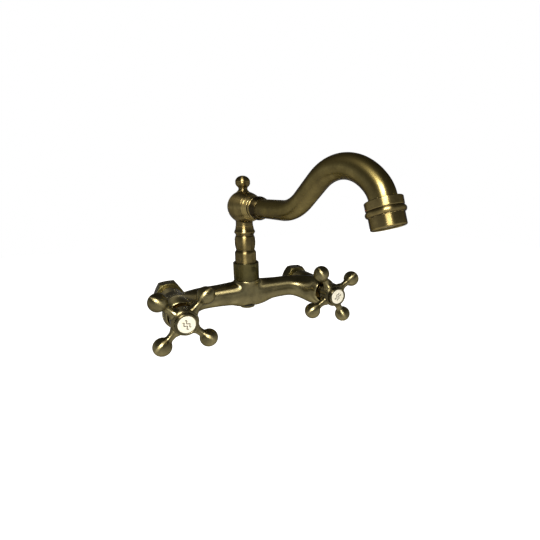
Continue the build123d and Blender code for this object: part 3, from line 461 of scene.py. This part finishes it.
def tube_line():
    """Places and headings along the tube's middle, in millimetres in the spout's own plane."""
    u, v, heading = 8.6, 0.0, 0.0
    line = [(u, v, heading)]
    for length, bend_radius, turn in tube_runs:
        steps = max(int(length / 1.5), 1) if length else int(abs(turn) / 1.5)
        for _ in range(steps):
            if length:
                u += length / steps * cos(heading)
                v += length / steps * sin(heading)
            else:
                part = radians(turn) / steps
                chord = 2 * bend_radius * sin(abs(part) / 2)
                u += chord * cos(heading + part / 2)
                v += chord * sin(heading + part / 2)
                heading += part
            line.append((u, v, heading))
    return line


def swept_tube(name, segments=128):
    """The tube's mesh, outside and bore, closed at both ends."""
    flat_side = Vector((-spout_along.y, spout_along.x, 0))
    line = tube_line()
    vertices, brushes, lays = [], [], []
    middle = Vector((0, -39, spout_height))
    run = 0.0
    stations = [(place, tube_radius) for place in line] + [(place, tube_radius - tube_wall) for place in reversed(line)]
    for (u, v, heading), radius in stations:
        run += 1.4
        along = cos(heading) * spout_along + sin(heading) * Vector((0, 0, 1))
        upward = -sin(heading) * spout_along + cos(heading) * Vector((0, 0, 1))
        centre = middle + u * spout_along + v * Vector((0, 0, 1))
        for s in range(segments):
            angle = 2 * pi * s / segments
            vertices.append((centre + radius * (cos(angle) * upward + sin(angle) * flat_side)) / 1000)
            brushes.append(along)
            lays.append((run * 0.35, cos(angle) * 3, sin(angle) * 3))
    count = len(stations)
    faces = []
    for k in range(count):
        low, high = k * segments, (k + 1) % count * segments
        for s in range(segments):
            t = (s + 1) % segments
            faces.append((low + s, high + s, high + t, low + t))
    mesh = bpy.data.meshes.new(name)
    mesh.from_pydata(vertices, [], faces)
    mesh.shade_smooth()
    paint(mesh, "brush", brushes)
    paint(mesh, "lay", lays)
    paint_wear_and_light(mesh, 2, 0.0009)
    piece = bpy.data.objects.new(name, mesh)
    bpy.context.scene.collection.objects.link(piece)
    return piece


tube = swept_tube("swan_tube")
put(tube, "spout", "antique_bronze", tube_bronze, "spout_tube")


# Spout collar. Turned ring over the joint of hub and tube: a tapered band, a bead and a
# dome.

collar_profile = [(19.25, 8.65), (19.25, 11.4), (19.55, 11.7), (24.45, 10.9), (24.65, 9.9), (25.75, 9.9)]
collar_profile += arc_through((25.75, 9.9), (27.25, 10.9), (28.75, 10.1), 8)
collar_profile += smooth_through([(29.4, 10.1), (29.8, 10.65), (30.88, 11.1), (33.84, 10.4), (36.8, 8.95)], 4)
collar_profile += [(36.8, 8.65)]


def collar_highlight_and_shade(along):
    """Painted highlight on the collar's band and bead, painted shade on its grooves and dome."""
    if 19.5 < along < 24.5:
        return 0.6
    return 0.9 if 26.0 < along < 28.6 else -0.8


collar = turned("hub_collar", (0, -39, spout_height), spout_along, (0, 0, 1), collar_profile, rub_and_painted_light=collar_highlight_and_shade)
put(collar, "spout", "antique_bronze", spout_bronze, "spout_collar")


# Outlet. Turned collar over the tube's end with two bands and a bead, and a moulded
# nylon cage behind a steel screen in its mouth.

end_u, end_v, end_heading = tube_line()[-1]
outlet_along = cos(end_heading) * spout_along + sin(end_heading) * Vector((0, 0, 1))
outlet_start = Vector((0, -39, spout_height)) + end_u * spout_along + end_v * Vector((0, 0, 1)) - 2.8 * outlet_along
outlet_profile = [(0, 8.65), (0, 11.2), (0.5, 11.7), (5.2, 11.6), (5.7, 11.2)]
outlet_profile += arc_through((5.7, 11.2), (7.79, 12.35), (9.5, 11.15), 10)
outlet_profile += [(9.9, 10.95), (16.8, 10.95), (17.4, 10.35), (17.4, 9.25), (3.0, 9.25), (3.0, 8.65)]
outlet_up = -sin(end_heading) * spout_along + cos(end_heading) * Vector((0, 0, 1))
outlet = turned("outlet_collar", outlet_start, outlet_along, outlet_up, outlet_profile)
put(outlet, "spout", "antique_bronze", spout_bronze, "aerator_shell")


# Cross handles. Turned brass hub with four turned arms that end in balls. The arms are
# screwed into the hub, and a threaded bezel holds the index disc.

arm_profile = [(8.8, 5.8)]
arm_profile += smooth_through([(8.8, 5.8), (11.4, 5.2), (14.8, 3.55), (18.54, 3.3)], 8)[1:]
arm_profile += arc_through((18.54, 3.3), (20.24, 3.85), (21.24, 4.9), 6)
ball_turn = degrees(atan2(4.9, -6.26))
for step in range(1, 37):
    turn = radians(ball_turn * (1 - step / 36))
    arm_profile.append((27.5 + 7.95 * cos(turn), max(7.95 * sin(turn), 0.01)))
arm_profile = [(8.8, 0.01)] + arm_profile
first_arm = {"left": 45, "right": 60}
handle_profile = [
    (91.4, 8.0), (95.2, 8.0), (95.2, 9.8), (94.67, 10.87), (93.6, 11.4), (83.3, 11.4), (82.8, 10.9), (82.8, 8.5), (82.0, 7.8),
    (74.0, 7.8), (74.0, 5.6), (76.0, 5.6), (76.0, 4.3), (88.8, 4.3), (88.8, 2.2), (91.4, 2.2),
]
bezel_profile = [
    (94.1, 6.05), (94.1, 7.95), (95.25, 7.95), (95.25, 9.5), (98.7, 9.5), (99.4, 8.9), (99.4, 7.6), (96.9, 7.6), (96.9, 6.05),
]
for label, hand in (("left", -1), ("right", 1)):
    origin = Vector((75 * hand, 0, 0))
    handle = turned(f"{label}_handle_boss", origin, (0, -1, 0), (0, 0, 1), handle_profile)
    put(handle, f"{label}_handle", "antique_bronze", antique_bronze, f"{label}_handle_hub")
    for number in range(4):
        turn = radians(first_arm[label] + 90 * number)
        outward = Vector((-cos(turn), 0, sin(turn)))
        arm = turned(
            f"{label}_ball_arm_{number + 1}", origin + Vector((0, -89, 0)), outward, (0, -1, 0), arm_profile,
            closed=False, segments=96,
        )
        put(arm, f"{label}_handle", "antique_bronze", antique_bronze, f"{label}_handle_arm_{number + 1}")
    bezel = turned(f"{label}_bezel_ring", origin, (0, -1, 0), (0, 0, 1), bezel_profile, rub_and_painted_light=lambda along: -0.8)
    put(bezel, f"{label}_handle", "antique_bronze", antique_bronze, f"{label}_handle_bezel")


# Index discs. Ivory enamel fired on a copper blank, slightly domed, with a plain mark
# of two waves let into it.

ivory = bpy.data.materials.new("ivory_enamel")
ivory.use_nodes = True
ivory_tree = ivory.node_tree
ivory_place = add_node(ivory_tree, "ShaderNodeTexCoord")
# Milky clouds about 4 mm across in the glaze
ivory_clouds = add_node(ivory_tree, "ShaderNodeTexNoise", {"Vector": ivory_place.outputs["Object"], "Scale": 260.0, "Detail": 3.0})
ivory_tint = add_node(ivory_tree, "ShaderNodeValToRGB", {"Fac": ivory_clouds.outputs["Fac"]})
ramp_colours(ivory_tint, (0.3, "#e2dcc6"), (0.7, "#f0ecdc"))
ivory_waves = add_node(
    ivory_tree, "ShaderNodeBump", {"Height": ivory_clouds.outputs["Fac"], "Strength": 0.1, "Distance": 0.0002}
)
ivory_shader = ivory_tree.nodes["Principled BSDF"]
ivory_tree.links.new(ivory_tint.outputs["Color"], ivory_shader.inputs["Base Color"])
ivory_tree.links.new(ivory_waves.outputs["Normal"], ivory_shader.inputs["Normal"])
ivory_shader.inputs["Roughness"].default_value = 0.16

mark_enamel = bpy.data.materials.new("grey_enamel")
mark_enamel.use_nodes = True
mark_tree = mark_enamel.node_tree
mark_place = add_node(mark_tree, "ShaderNodeTexCoord")
mark_grain = add_node(mark_tree, "ShaderNodeTexNoise", {"Vector": mark_place.outputs["Object"], "Scale": 900.0})
mark_tint = add_node(mark_tree, "ShaderNodeValToRGB", {"Fac": mark_grain.outputs["Fac"]})
ramp_colours(mark_tint, (0.3, "#6d685c"), (0.7, "#888275"))
mark_tree.links.new(mark_tint.outputs["Color"], mark_tree.nodes["Principled BSDF"].inputs["Base Color"])
mark_tree.nodes["Principled BSDF"].inputs["Roughness"].default_value = 0.25


def strip(name, line, width, out, centre_x):
    """A flat stroke of the mark, let into the disc's face so that it stands 0.03 mm proud."""
    line = [Vector(p) for p in line]
    vertices, faces = [], []
    for k, place in enumerate(line):
        heading = (line[min(k + 1, len(line) - 1)] - line[max(k - 1, 0)]).normalized()
        across = Vector((-heading.y, heading.x)) * width / 2
        for edge, height in ((-1, 0.0), (-0.8, 0.03), (0.8, 0.03), (1, 0.0)):
            spot = place + across * edge
            vertices.append(Vector((centre_x + spot.x, -(out + height), spot.y)) / 1000)
    for k in range(len(line) - 1):
        for s in range(3):
            faces.append((4 * k + s, 4 * k + s + 1, 4 * k + s + 5, 4 * k + s + 4))
    mesh = bpy.data.meshes.new(name)
    mesh.from_pydata(vertices, [], faces)
    piece = bpy.data.objects.new(name, mesh)
    bpy.context.scene.collection.objects.link(piece)
    return piece


wave = [(t * 0.42 - 3.78, 0.85 * sin(t * 0.42 * 1.65)) for t in range(19)]
mark_slants = {"left": -52, "right": 62}
for label, hand in (("left", -1), ("right", 1)):
    disc_profile = [(96.92, 0.01), (96.92, 7.48), (98.75, 7.48), (99.08, 7.0), (99.12, 5.0), (99.16, 2.5), (99.17, 0.01)]
    disc = turned(f"{label}_index_plate", (75 * hand, 0, 0), (0, -1, 0), (0, 0, 1), disc_profile, closed=False)
    put(disc, f"{label}_handle", "ivory_enamel", ivory, f"{label}_index_disc")
    slant = radians(mark_slants[label])
    for number, lift in enumerate((-1.4, 1.4), 1):
        line = smooth_through([(x * cos(slant) - (y + lift) * sin(slant), x * sin(slant) + (y + lift) * cos(slant)) for x, y in wave], 3)
        stroke = strip(f"{label}_wave_{number}", line, 1.0, 99.16, 75 * hand)
        put(stroke, f"{label}_handle", "ivory_enamel", mark_enamel)


# Parts that stay as the solids have them: headworks and spindles in the barrels' mouths,
# washers, seals, clips and screws, and the outlet's cage and screen.


def plain(name, dark, bright, metallic, roughness, grain):
    """A machined or moulded material with tone and roughness that vary over its surface."""
    material = bpy.data.materials.new(name)
    material.use_nodes = True
    tree = material.node_tree
    shader = tree.nodes["Principled BSDF"]
    place = add_node(tree, "ShaderNodeTexCoord")
    noise = add_node(tree, "ShaderNodeTexNoise", {"Vector": place.outputs["Object"], "Scale": grain, "Detail": 3.0})
    tint = add_node(tree, "ShaderNodeValToRGB", {"Fac": noise.outputs["Fac"]})
    ramp_colours(tint, (0.3, dark), (0.7, bright))
    dull = add_node(
        tree, "ShaderNodeMapRange",
        {"Value": noise.outputs["Fac"], "From Min": 0.3, "From Max": 0.7, "To Min": roughness + 0.08, "To Max": roughness - 0.05},
    )
    bump = add_node(tree, "ShaderNodeBump", {"Height": noise.outputs["Fac"], "Strength": 0.15, "Distance": 0.0001})
    tree.links.new(tint.outputs["Color"], shader.inputs["Base Color"])
    tree.links.new(dull.outputs["Result"], shader.inputs["Roughness"])
    tree.links.new(bump.outputs["Normal"], shader.inputs["Normal"])
    shader.inputs["Metallic"].default_value = metallic
    return material


plain_materials = {
    "plain_brass": plain("machined_brass", "#6e5a30", "#9c8248", 1.0, 0.35, 900.0),
    "antique_bronze": plain("plug_bronze", "#5a5234", "#8b8153", 1.0, 0.36, 500.0),
    "stainless_steel": plain("bright_steel", "#a8a7a2", "#c4c2bc", 1.0, 0.28, 1200.0),
    "black_rubber": plain("black_rubber", "#141414", "#242322", 0.0, 0.6, 700.0),
    "alumina_ceramic": plain("white_ceramic", "#dcd8cc", "#ece9e0", 0.0, 0.2, 300.0),
    "fibre": plain("red_fibre", "#5e2a1e", "#77382a", 0.0, 0.7, 900.0),
    "nylon": plain("white_nylon", "#cfccbe", "#dedbd0", 0.0, 0.45, 400.0),
}
for subpart in frame["record"]["subparts"]:
    kept = frame["nodes"][subpart["node"]]
    if not kept.hide_render:
        kept.data.materials.clear()
        kept.data.materials.append(plain_materials[subpart["material_slot"]])


# Photographer's view: the tap hangs at eye level, seen from the left and a little above,
# with a wide lens close by, so the outlet and the left handle look larger.

camera_place = Vector((-0.1204, -0.3675, 0.1088))
camera_right = Vector((0.8847, -0.4661, -0.0076))
camera_forward = Vector((0.4520, 0.8570, -0.2470))
image_side = 540
focal_pixels = 339.934
centre_pixels = (290.793, 273.332)
sensor_width_mm = 36.0
backward = -camera_forward.normalized()
rightward = (camera_right - camera_right.dot(backward) * backward).normalized()
upward = backward.cross(rightward)
camera_data = bpy.data.cameras.new("camera")
camera_data.sensor_width = sensor_width_mm
camera_data.lens = focal_pixels * sensor_width_mm / image_side
camera_data.shift_x = (image_side / 2 - centre_pixels[0]) / image_side
camera_data.shift_y = (centre_pixels[1] - image_side / 2) / image_side
camera_data.clip_start = 0.005
camera = bpy.data.objects.new("camera", camera_data)
bpy.context.scene.collection.objects.link(camera)
camera.matrix_world = Matrix.Translation(camera_place) @ Matrix((rightward, upward, backward)).transposed().to_4x4()
bpy.context.scene.camera = camera
bpy.context.scene.view_settings.view_transform = "Standard"

# Studio: a pale floor well below, a white backdrop all round that darkens towards the
# ceiling, and one softbox at the photographer's upper left.

floor_mesh = bpy.data.meshes.new("studio_floor")
floor_mesh.from_pydata([(-6, -6, -0.9), (6, -6, -0.9), (6, 6, -0.9), (-6, 6, -0.9)], [], [(0, 1, 2, 3)])
floor = bpy.data.objects.new("studio_floor", floor_mesh)
bpy.context.scene.collection.objects.link(floor)
floor_paper = bpy.data.materials.new("pale_paper")
floor_paper.use_nodes = True
floor_tree = floor_paper.node_tree
floor_seen = add_node(floor_tree, "ShaderNodeLightPath")
floor_glow = add_node(floor_tree, "ShaderNodeMath", {0: floor_seen.outputs["Is Camera Ray"], 1: 0.9}, operation="MULTIPLY")
floor_shader = floor_tree.nodes["Principled BSDF"]
floor_shader.inputs["Base Color"].default_value = linear("#ece9e2")
floor_shader.inputs["Roughness"].default_value = 0.9
floor_shader.inputs["Emission Color"].default_value = (1, 1, 1, 1)
floor_tree.links.new(floor_glow.outputs["Value"], floor_shader.inputs["Emission Strength"])
floor_mesh.materials.append(floor_paper)

world = bpy.data.worlds.new("studio")
world.use_nodes = True
world_tree = world.node_tree
sky_place = add_node(world_tree, "ShaderNodeTexCoord")
sky_parts = add_node(world_tree, "ShaderNodeSeparateXYZ", {"Vector": sky_place.outputs["Generated"]})
sky_tint = add_node(world_tree, "ShaderNodeValToRGB", {"Fac": sky_parts.outputs["Z"]})
ramp_colours(sky_tint, (0.0, "#bcbcb8"), (0.18, "#8e8e8c"), (0.45, "#4e4e4c"), (1.0, "#363634"))
seen = add_node(world_tree, "ShaderNodeLightPath")
straight = add_node(world_tree, "ShaderNodeMath", {0: seen.outputs["Is Camera Ray"], 1: seen.outputs["Is Transmission Ray"]}, operation="MAXIMUM")
mirrored = add_node(world_tree, "ShaderNodeMix", {"Factor": seen.outputs["Is Glossy Ray"], "A": linear("#c8c8c6"), "B": sky_tint.outputs["Color"]}, data_type="RGBA")
shown = add_node(world_tree, "ShaderNodeMix", {"Factor": straight.outputs["Value"], "B": (1, 1, 1, 1)}, data_type="RGBA")
world_tree.links.new(mirrored.outputs["Result"], shown.inputs["A"])
world_tree.links.new(shown.outputs["Result"], world_tree.nodes["Background"].inputs["Color"])
bpy.context.scene.world = world

softbox_data = bpy.data.lights.new("softbox", "AREA")
softbox_data.shape = "SQUARE"
softbox_data.size = 0.36
softbox_data.energy = 10.0
softbox_data.color = linear("#fffaf0")[:3]
softbox = bpy.data.objects.new("softbox", softbox_data)
bpy.context.scene.collection.objects.link(softbox)
softbox_place = Vector((-0.35, -0.65, 0.55))
softbox_aim = Vector((0, -0.06, 0.03)) - softbox_place
softbox.matrix_world = Matrix.Translation(softbox_place) @ softbox_aim.to_track_quat("-Z", "Y").to_matrix().to_4x4()
